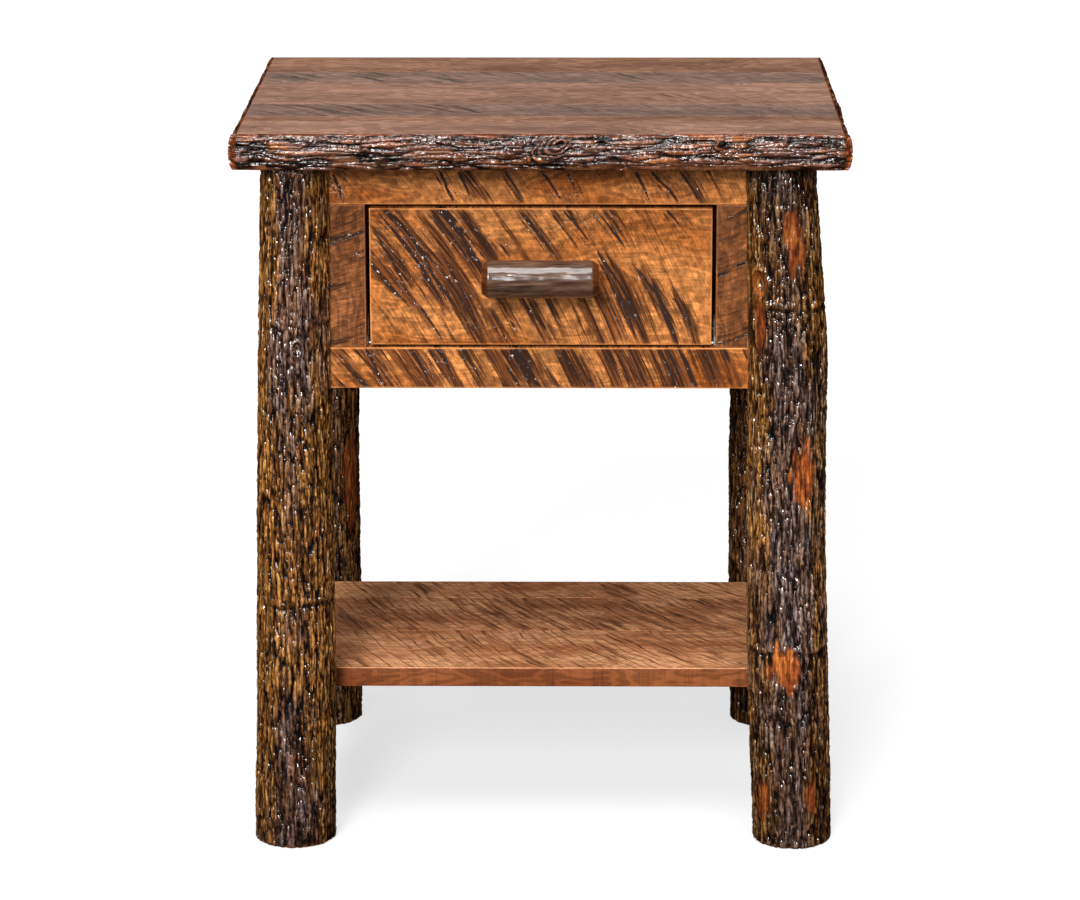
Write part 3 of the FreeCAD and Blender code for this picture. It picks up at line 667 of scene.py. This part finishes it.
# The stiles get a darker copy of the honey finish: painted shade, for they stand back behind the logs.
shaded_honey = sawn_finish("shaded_honey_sawn", (0.30, 0.102, 0.030), (0.16, 0.045, 0.010), (0.060, 0.019, 0.006),
                         (0.016, 0.0055, 0.003))
sawn_board("face_rail_top", 0, 1, -1, 3, (-0.35, -0.36), -0.6, honey,
           ((-196.6, 667, -187, 638, 2.3), (-95.5, 668, -82.2, 638, 2.5), (-77.4, 668, -65, 638, 2.3),
            (-33.6, 668, -14.5, 638, 2.0), (1.7, 668, 20.8, 638, 2.6), (25.5, 668, 37, 638, 1.6),
            (89.4, 668, 104.7, 638, 2.6), (104.7, 668, 132.3, 638, 2.3), (132.3, 668, 151.4, 638, 2.6)))
sawn_board("face_rail_bottom", 0, 1, -1, 5, (-0.30, -0.25), 0.25, honey,
           ((-168, 496, -150.8, 459, 2.5), (-124.1, 496, -106, 459, 2.6), (-107.9, 496, -88.8, 459, 1.6),
            (-74.5, 496, -55.5, 459, 2.6), (-29.7, 496, -7.8, 459, 2.9), (-14.5, 496, 3.6, 459, 1.6),
            (18.9, 496, 37.9, 459, 2.6), (63.7, 496, 84.7, 459, 2.9), (84.7, 496, 99.9, 459, 1.8),
            (113.3, 496, 130.4, 459, 2.6), (156.1, 496, 168.5, 459, 2.0)))
sawn_board("face_stile_left", 2, 1, -1, 8, (0.45, -0.10), -0.35, shaded_honey)
sawn_board("face_stile_right", 2, 1, -1, 9, (0.45, -0.12), -0.3, shaded_honey)
for number, (node_name, side) in enumerate((("side_board_lower_left", -1), ("side_board_upper_left", -1),
                                            ("side_board_lower_right", 1), ("side_board_upper_right", 1))):
    sawn_board(node_name, 1, 0, side, 20 + number, (-0.2, -0.25), -0.05, honey, cell=0.0016)
for number, node_name in enumerate(("back_board_lower", "back_board_upper")):
    sawn_board(node_name, 0, 1, 1, 30 + number, (-0.2, -0.25), -0.05, honey, cell=0.0018)

# Drawer front. One rough-sawn board with the saw marks heavy on the left and under the handle. Four
# screws from inside hold it to the drawer box.
sawn_board("drawer_front", 0, 1, -1, 41, (-0.35, -0.22), -0.12, honey,
           ((-155.6, 630, -93, 536, 2.6), (-141.3, 630, -88, 537, 2.0), (-159.4, 612, -125, 545, 2.0),
            (-103.1, 630, -62.2, 571, 2.5), (-95.5, 590, -56.4, 507, 1.8), (-74.5, 627, -41.2, 585, 2.5),
            (-44, 602, -28.8, 586, 1.8), (-19.3, 629, 14.1, 585, 2.3), (8.4, 629, 41.8, 585, 1.5),
            (20.8, 631, 51.3, 595, 1.8), (51.3, 632, 80.8, 594, 2.5), (65.6, 632, 87.5, 607, 1.8),
            (119, 632, 141.8, 605, 1.6), (54.1, 590, 99.9, 512, 2.6), (56.1, 580, 84.7, 513, 1.6),
            (90.4, 576, 132.3, 512, 2.5), (123.7, 549, 147.6, 513, 1.6), (-114.6, 537, -91.7, 500, 1.8),
            (-77.4, 532, -55.5, 500, 1.6), (-47.9, 536, -31.6, 500, 1.6), (-14.5, 541, 11.2, 500, 2.0)),
           ((0.075, 0.075, 0.055, 0.055, 0.62), (0.03, 0.02, 0.04, 0.025, -0.5),
            (0.20, 0.11, 0.07, 0.03, -0.45), (0.24, 0.035, 0.05, 0.03, 0.45),
            (0.30, 0.08, 0.03, 0.06, -0.6), (0.13, 0.03, 0.06, 0.03, 0.35)),
           body="drawer", cell=0.001)

# Shelf. Three sawn boards under a smoother coat, screwed to supports that are let into the logs. Fine
# curved saw lines run from the back left to the front right, and the front edge is eased, its rim
# painted lighter as wear and a painted highlight, and its face painted darker as painted shade.
shelf_wood = sawn_finish("shelf_wood", (0.70, 0.33, 0.155), (0.42, 0.150, 0.058), (0.25, 0.094, 0.040),
                         (0.075, 0.026, 0.012), 0.45, 0.4, 0.9, 400, 0.0085, 0.15)
for number, (place, cover, rubbed_and_highlit) in enumerate((("front", -0.2, 1), ("middle", 0.05, 0), ("rear", -0.2, 0))):
    # rear_shade darkens and warms the edges and underside: painted shade.
    sawn_board("shelf_board_" + place, 0, 2, 1, 50 + number, (0.85, 0.40), cover, shelf_wood,
               depth=0.0003, cell=0.0014, rear_stain=0.1, rear_shade=0.3, marks=0.2, rubbed_and_highlit=rubbed_and_highlit)

# Top boards. Six boards glued edge to edge and planed, two of them with patches left rough from the
# saw, under a satin coat.
top_wood = sawn_finish("satin_top", (0.37, 0.205, 0.142), (0.25, 0.136, 0.096), (0.19, 0.106, 0.078),
                       (0.09, 0.055, 0.043), 0.5, 0.2, 0.8, 420, 0, 0.2)
top_warm = sawn_finish("satin_top_warm", (0.33, 0.172, 0.108), (0.20, 0.098, 0.062), (0.155, 0.080, 0.055),
                       (0.08, 0.045, 0.034), 0.5, 0.2, 0.8, 420, 0, 0.25)
top_grey = sawn_finish("satin_top_grey", (0.28, 0.168, 0.128), (0.19, 0.118, 0.093), (0.115, 0.078, 0.066),
                       (0.075, 0.052, 0.045), 0.5, 0.35, 0.8, 300, 0, 0.4)
top_boards = ((-0.95, top_wood, ()), (-1.0, top_warm, ((0.10, 0.02, 0.02, 0.02, 0.4),)),
              (-0.65, top_grey, ((0.10, 0.04, 0.13, 0.06, 0.85), (0.33, 0.04, 0.04, 0.05, 0.5))),
              (-1.0, top_wood, ((0.43, 0.05, 0.08, 0.04, 1.0), (0.18, 0.06, 0.03, 0.02, 0.5))),
              (-0.65, top_grey, ((0.03, 0.04, 0.03, 0.05, 0.8), (0.105, 0.05, 0.03, 0.05, 0.8),
                                 (0.19, 0.04, 0.025, 0.05, 0.8), (0.275, 0.04, 0.02, 0.05, 0.7),
                                 (0.40, 0.05, 0.09, 0.05, 0.6))),
              (-0.9, top_warm, ((0.14, 0.02, 0.04, 0.02, 0.4),)))
for number, (cover, finish, heavy) in enumerate(top_boards):
    sawn_board(f"top_board_{number + 1}", 0, 2, 1, 60 + number, (-0.5, -0.55), cover, finish, heavy=heavy,
               depth=0.00025, cell=0.0016, ease=0.0008, size=0.8, rear_shade=0.5, marks=0.8,
               rubbed_and_highlit=0)

# Bark edges. The front and both ends of the top keep the bark of the tree, with a thin bare line
# under the top face, a grown-over knot in the middle, and ends sanded bare.
edge_cell, edge_easing = 0.00085, 0.0006
edge_bark_ridge, edge_plate_length = 0.0066, 0.060
edge_bark_depth, edge_worn_depth, edge_wobble = 0.0022, 0.0014, 0.0012
edge_worn_edge_size, edge_wobble_size, edge_patch_size = (1, 0.004, 0.012), (1, 0.02, 0.035), (1, 0.010, 0.04)
edge_bare_tones = ((0.05, 0.016, 0.006), (0.15, 0.060, 0.020), (0.27, 0.13, 0.055))
knot_rise, knot_middle_rise, knot_ring_spacing, knot_hole_radius = 0.0008, 0.0016, 0.0036, 0.0026
knot_warp_size = (0.008, 0.006, 1)
end_pull, end_pull_length, end_rounding, end_rounding_length = 0.0048, 0.03, 0.007, 0.009
end_sanding, bare_line = (0.0045, 0.0075), (0.0018, 0.0010)


def bark_edge(node_name, along, out, side, seed, knots, worn, sanded):
    """Replaces one bark slab of the top. Knots and worn patches are given by their middle, half width
    and half height along the edge, and a knot also by its tilt."""
    low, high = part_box(node_name)
    strip, grain, height, fine, _ = plank(node_name + "_live", low, high, along, out, side, edge_cell,
                                          edge_easing)
    length, thick = high[along] - low[along], high.z - low.z
    spot = np.stack([0.02 * np.ones(len(grain)), height, grain], 1)
    relief = bark_relief(spot, seed, edge_bark_ridge, edge_plate_length, 0.55)
    bare = np.zeros(len(grain))
    sink = np.zeros(len(grain))
    edge = layered(spot / edge_worn_edge_size, seed + 60)
    for at, up, half_width, half_height in worn:
        reach = np.hypot((grain - at) / half_width, (height - up) / half_height) + 0.6 * edge
        bare = np.maximum(bare, 1 - smooth(0.7, 1.0, reach))
    warp = layered(np.stack([grain, height, 0 * grain], 1) / knot_warp_size, seed + 65, 2)
    for at, up, half_width, half_height, tilt in knots:
        slanted = (grain - at) * math.cos(tilt) + (height - up) * math.sin(tilt)
        upright = (height - up) * math.cos(tilt) - (grain - at) * math.sin(tilt)
        reach = np.hypot(slanted / half_width, upright / half_height) + 0.25 * edge
        near = 1 - smooth(0.75, 1.1, reach)
        round_hole = np.hypot((slanted - 0.55 * half_width) / 1.8, upright - 0.1 * half_height)
        rings = 0.50 + 0.30 * np.cos(2 * math.pi * round_hole / knot_ring_spacing + 2.2 * warp) + 0.2 * warp
        relief = relief * (1 - near) + rings * near
        relief = relief * (1 - 0.95 * np.exp(-(round_hole / knot_hole_radius) ** 4))
        sink -= knot_middle_rise * near * (1 - smooth(0.2, 1.0, reach)) + knot_rise * near
    bulge = np.sqrt(np.maximum(0, 1 - ((height - thick / 2) / (thick / 2)) ** 2))
    depth = abs(high[out] - low[out])
    back = depth * 0.60 * (1 - bulge)
    wobble = layered(spot / edge_wobble_size, seed + 80, 2)
    back = back + edge_bark_depth * (1 - relief) * (1 - bare) + edge_worn_depth * bare
    back = back + edge_wobble * (0.5 - 0.5 * wobble) + sink
    ends = np.minimum(grain, length - grain)
    pull = 0
    sanded_share = 0
    if sanded:
        back = back + end_rounding * (1 - smooth(0, end_rounding_length, ends)) ** 2
        sanded_share = 1 - smooth(*end_sanding, ends + 0.001 * edge)
        inward = np.where(grain < length / 2, 1, -1)
        pull = end_pull * (1 - bulge) * (1 - smooth(0, end_pull_length, ends)) * inward
        line = 0.7 * smooth(thick - bare_line[0], thick - bare_line[1], height + 0.0010 * edge)
        sanded_share = np.maximum(sanded_share, line)
    sanded_share = np.where(fine, sanded_share, 1)
    points = mesh_points(strip)
    face = high[out] if side > 0 else low[out]
    reach = np.clip(back, 0.00005, depth - 0.0012)
    points[:, out] = np.where(fine, face - side * reach, points[:, out])
    points[:, along] += pull
    set_points(strip, points)
    bpy.ops.object.shade_smooth_by_angle(angle=math.radians(50))
    paint(strip, "relief", relief)
    paint(strip, "bare", bare)
    paint(strip, "sanded", sanded_share)
    paint(strip, "tone", np.full(len(grain), 0.92))
    paint(strip, "golden", np.clip(0.1 + 0.9 * layered(spot / edge_patch_size, seed + 90), 0, 1))
    paint(strip, "grey", np.clip(0.3 + 0.8 * layered(spot / edge_patch_size, seed + 95), 0, 1))
    strip.data.materials.append(bark_finish(strip.name + "_bark", (0.95, 0.78, 0.86), edge_bare_tones, along,
                                            150, 0.4))
    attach(strip, "root")
    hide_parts(node_name)


bark_edge("bark_edge_front", 0, 1, -1, 71,
          ((0.298, 0.0175, 0.027, 0.0115, 0.48), (0.4585, 0.023, 0.009, 0.0055, 0.3)),
          ((0.111, 0.008, 0.020, 0.008), (0.195, 0.016, 0.035, 0.006), (0.43, 0.003, 0.14, 0.005)), True)
bark_edge("bark_edge_left", 1, 0, -1, 81, (), ((0.1, 0.01, 0.03, 0.008),), False)
bark_edge("bark_edge_right", 1, 0, 1, 91, ((0.17, 0.017, 0.026, 0.018, 0.2),),
          ((0.3, 0.01, 0.03, 0.008),), False)

# Handle. A short piece of smooth-barked branch, chamfered to bare wood at both ends. Two dowel posts
# carry it, screwed from inside the drawer.
handle_skin = 0.0004
handle_ripple, handle_ripple_size = 0.00035, (0.0022, 0.0022, 0.018)
handle_sway, handle_sway_size = 0.0007, (0.02, 0.02, 0.03)
handle_patch_size = (0.003, 0.003, 0.020)
handle_chamfer, handle_chamfer_slope = 0.0055, 0.7
handle_low, handle_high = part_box("handle")
handle_length = handle_high.x - handle_low.x
handle_radius = (handle_high.z - handle_low.z) / 2
handle = straight_log("handle_log", handle_radius, handle_length, 120, (10, 9))
points = mesh_points(handle)
angle = np.arctan2(points[:, 1], points[:, 0])
at = points[:, 2]
ends = np.minimum(at, handle_length - at)
spot = np.stack([handle_radius * np.cos(angle), handle_radius * np.sin(angle), at], 1)
ripple = layered(spot / handle_ripple_size, 101, 2)
sway = layered(spot / handle_sway_size, 103)
back = handle_skin + handle_ripple * (0.5 - 0.5 * ripple) + handle_sway * (0.5 - 0.5 * sway)
reach = handle_radius - back - np.maximum(0, handle_chamfer - ends) * handle_chamfer_slope
middle = (handle_low + handle_high) / 2
points = np.stack([handle_low.x + at, middle.y - reach * np.cos(angle), middle.z + reach * np.sin(angle)], 1)
set_points(handle, points)
face_outward(handle)
bpy.ops.object.shade_smooth_by_angle(angle=math.radians(40))
paint(handle, "relief", np.clip(0.60 + 0.45 * layered(spot / handle_patch_size, 102), 0, 1))
paint(handle, "sanded", 1 - smooth(0.0048, 0.0062, ends + 0.0005 * ripple))
material, tree, shader = new_material("handle_bark")
streaks = noise_pattern(tree, 260, 4, (0.12, 1, 1), 0.6)
ripples = noise_pattern(tree, 200, 1.5, (0.18, 1, 1))
bark = ramp(tree, streaks, ((0.32, (0.030, 0.011, 0.005)), (0.5, (0.090, 0.044, 0.026)),
                                    (0.68, (0.17, 0.100, 0.066))))
bare = ramp(tree, streaks, ((0.3, (0.040, 0.009, 0.003)), (0.7, (0.13, 0.034, 0.009))))
tone = greys(tree, attribute(tree, "relief"), (0.3, 0.55), (0.8, 1.25))
bark = mixed(tree, 1.0, bark, tone, "MULTIPLY")
tree.links.new(mixed(tree, attribute(tree, "sanded"), bark, bare), shader.inputs["Base Color"])
tree.links.new(greys(tree, streaks, (0.3, 0.55), (0.7, 0.4)), shader.inputs["Roughness"])
set_plain(shader, {"Specular IOR Level": 0.1, "Coat Weight": 0.65, "Coat Roughness": 0.13, "Coat IOR": 1.7})
bumped(tree, ripples, 0.0004, shader, ("Normal", "Coat Normal"))
handle.data.materials.append(material)
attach(handle, "drawer")
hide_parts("handle")

# Joinery wood. The drawer box, handle posts, cleats, rails, stops and what is under the shelf keep
# their CAD shape. They are planed and dull, with the grain along each piece's longest side, pale in
# the case and stained under the shelf.
pale_tones = (0.30, 0.165, 0.075), (0.42, 0.255, 0.13), (0.50, 0.33, 0.18)
stained_tones = (0.14, 0.050, 0.018), (0.21, 0.080, 0.030), (0.28, 0.115, 0.045)
grain_wide, grain_deep = (0.05, 1, 1), (1, 0.05, 1)


def joinery_wood(name, stretch, tones):
    material, tree, shader = new_material(name)
    figure = noise_pattern(tree, 45, 4, stretch, 0.6)
    fibre = noise_pattern(tree, 600, 3, stretch, 0.6)
    wood = ramp(tree, figure, tuple(zip((0.3, 0.5, 0.72), tones)))
    lines = greys(tree, fibre, (0.32, 0.72), (0.66, 1.08))
    tree.links.new(mixed(tree, 1.0, wood, lines, "MULTIPLY"), shader.inputs["Base Color"])
    tree.links.new(greys(tree, fibre, (0.3, 0.7), (0.7, 0.5)), shader.inputs["Roughness"])
    set_plain(shader, {"Specular IOR Level": 0.25})
    bumped(tree, fibre, 0.0004, shader, strength=0.5)
    return material


def dress(names, material):
    """Gives carried-over CAD nodes one material."""
    for name in names:
        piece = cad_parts[name]
        piece.data.materials.clear()
        piece.data.materials.append(material)


dress(("drawer_back", "drawer_bottom", "drawer_box_front"),
      joinery_wood("pale_wood_wide", grain_wide, pale_tones))
dress(("shelf_batten",), joinery_wood("stained_wood_wide", grain_wide, stained_tones))
dress(("shelf_support_left", "shelf_support_right"),
      joinery_wood("stained_wood_deep", grain_deep, stained_tones))
dress(("drawer_side_left", "drawer_side_right", "slide_rail_left", "slide_rail_right", "top_cleat_left",
       "top_cleat_right", "handle_posts", "drawer_stops"),
      joinery_wood("pale_wood_deep", grain_deep, pale_tones))

# Slides. The drawer runs on pressed steel channels under a white baked coat, scuffed lengthwise, with
# four nylon rollers. The coat is painted a mid grey: painted shade, for the slides sit in the dark gap
# beside the drawer.
material, tree, shader = new_material("slide_coating")
peel = noise_pattern(tree, 900, 2)
scuffs = noise_pattern(tree, 220, 5, (1, 0.06, 1), 0.7)
coating = ramp(tree, scuffs, ((0.3, (0.16, 0.155, 0.145)), (0.45, (0.28, 0.275, 0.26))))
tree.links.new(coating, shader.inputs["Base Color"])
tree.links.new(greys(tree, scuffs, (0.3, 0.7), (0.7, 0.5)), shader.inputs["Roughness"])
set_plain(shader, {"Specular IOR Level": 0.2})
bumped(tree, peel, 0.0002, shader, strength=0.3)
dress(("cabinet_slide_left", "cabinet_slide_right", "drawer_slide_left", "drawer_slide_right"), material)

material, tree, shader = new_material("roller_nylon")
rub = noise_pattern(tree, 380, 4)
nylon = ramp(tree, rub, ((0.3, (0.60, 0.59, 0.55)), (0.6, (0.80, 0.79, 0.75))))
tree.links.new(nylon, shader.inputs["Base Color"])
tree.links.new(greys(tree, rub, (0.3, 0.6), (0.7, 0.4)), shader.inputs["Roughness"])
dress(("cabinet_roller_left", "cabinet_roller_right", "drawer_roller_left", "drawer_roller_right"), material)

# Screws and pins. Steel with an uneven zinc plating of a faint yellow cast. All the screws are driven
# from hidden faces, and the pins carry the rollers of the slides.
material, tree, shader = new_material("screw_steel")
plating = noise_pattern(tree, 500, 4, (1, 1, 1), 0.6)
zinc = ramp(tree, plating, ((0.3, (0.42, 0.40, 0.36)), (0.7, (0.60, 0.585, 0.54))))
tree.links.new(zinc, shader.inputs["Base Color"])
tree.links.new(greys(tree, plating, (0.3, 0.42), (0.7, 0.24)), shader.inputs["Roughness"])
set_plain(shader, {"Metallic": 1.0})
dress([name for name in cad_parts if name.endswith(("_screws", "_roller_pins"))], material)

# Studio. A plain pale floor in a soft white room, with three wide soft lamps: two in front, of which
# the lower, bluish one makes the glints, and one above.
bpy.ops.object.select_all(action="DESELECT")
bpy.ops.mesh.primitive_plane_add(size=60)
floor = bpy.context.object
floor.name = "floor"
material, tree, shader = new_material("pale_floor")
set_plain(shader, {"Base Color": (0.28, 0.28, 0.28, 1), "Roughness": 0.9, "Specular IOR Level": 0.1,
                   "Emission Color": (1, 1, 1, 1), "Emission Strength": 0.68})
floor.data.materials.append(material)
floor.visible_diffuse = False
floor.visible_glossy = False

room = bpy.data.worlds.new("white_room")
room.use_nodes = True
set_plain(room.node_tree.nodes["Background"], {"Color": (1, 1, 1, 1), "Strength": 0.28})
bpy.context.scene.world = room
room.cycles_visibility.glossy = False
bpy.context.scene.view_settings.view_transform = "Standard"


def wide_lamp(name, aim_from, strength, spread, colour):
    """A soft light that reaches the whole floor evenly. Spread is in degrees."""
    lamp_data = bpy.data.lights.new(name, "SUN")
    lamp_data.energy = strength
    lamp_data.angle = math.radians(spread)
    lamp_data.color = colour
    lamp = bpy.data.objects.new(name, lamp_data)
    bpy.context.scene.collection.objects.link(lamp)
    lamp.rotation_euler = (-Vector(aim_from)).to_track_quat("-Z", "Y").to_euler()


wide_lamp("front_light", (-0.18, -0.87, 0.46), 2.35, 14, (1.0, 0.99, 0.97))
wide_lamp("glint_light", (-0.16, -0.95, 0.28), 1.0, 16, (0.86, 0.93, 1.0))
wide_lamp("top_light", (-0.06, -0.40, 1.0), 2.8, 36, (1.0, 0.995, 0.98))

# Camera. The photograph's view, from about 3.9 m in front of the middle and 0.65 m above the top,
# tipped down by about 15 degrees and turned by less than one.
camera_pitch, camera_roll, camera_yaw = -0.2573, 0.0016, 0.0128
camera_data = bpy.data.cameras.new("camera")
camera_data.sensor_width = 36
camera_data.lens = 131.63
camera = bpy.data.objects.new("camera", camera_data)
bpy.context.scene.collection.objects.link(camera)
camera.location = (0.0477, -3.86335, 1.3647)
camera.rotation_euler = (math.pi / 2 + camera_pitch, camera_roll, camera_yaw)
bpy.context.scene.camera = camera
